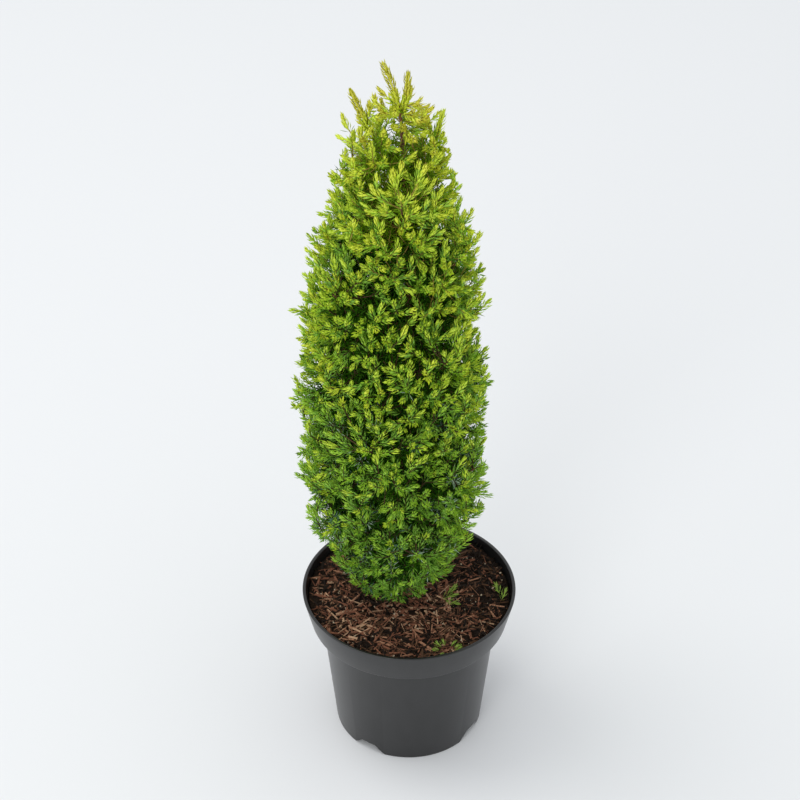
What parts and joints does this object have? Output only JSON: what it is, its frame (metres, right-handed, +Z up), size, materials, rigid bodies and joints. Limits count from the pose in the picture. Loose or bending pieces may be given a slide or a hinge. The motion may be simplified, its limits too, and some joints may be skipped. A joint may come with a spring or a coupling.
{
  "type": "potted juniper",
  "caption": "Young columnar juniper with dense awl-shaped needles on rising sprays, growing in a round black nursery pot of bark-mulched compost.",
  "frame": {"origin": "centre of the pot's underside, on the ground", "axes": "+Z up along the pot's axis; -Y towards the side that the picture shows as the front"},
  "size_m": [0.1917, 0.19, 0.655],
  "materials": {
    "pot_plastic": "soft satin black",
    "mulched_soil": "rough bark chips over dark compost",
    "bark": "rough stringy bark",
    "needles": "matt to slightly waxy needles"
  },
  "bodies": {
    "root": {"bough_01": "bark", "bough_02": "bark", "bough_03": "bark", "bough_04": "bark", "bough_05": "bark", "bough_06": "bark", "bough_07": "bark", "bough_08": "bark", "bough_09": "bark", "bough_10": "bark", "bough_11": "bark", "bough_12": "bark", "bough_13": "bark", "bough_14": "bark", "bough_15": "bark", "bough_16": "bark", "bough_17": "bark", "bough_18": "bark", "bough_19": "bark", "bough_20": "bark", "foliage_01": "needles", "foliage_02": "needles", "foliage_03": "needles", "foliage_04": "needles", "foliage_05": "needles", "foliage_06": "needles", "foliage_07": "needles", "foliage_08": "needles", "foliage_09": "needles", "foliage_10": "needles", "foliage_11": "needles", "foliage_12": "needles", "foliage_13": "needles", "foliage_14": "needles", "foliage_15": "needles", "foliage_16": "needles", "foliage_17": "needles", "foliage_18": "needles", "foliage_19": "needles", "foliage_20": "needles", "foliage_leader": "needles", "pot": "pot_plastic", "soil": "mulched_soil", "trunk": "bark"}
  },
  "joints": []
}
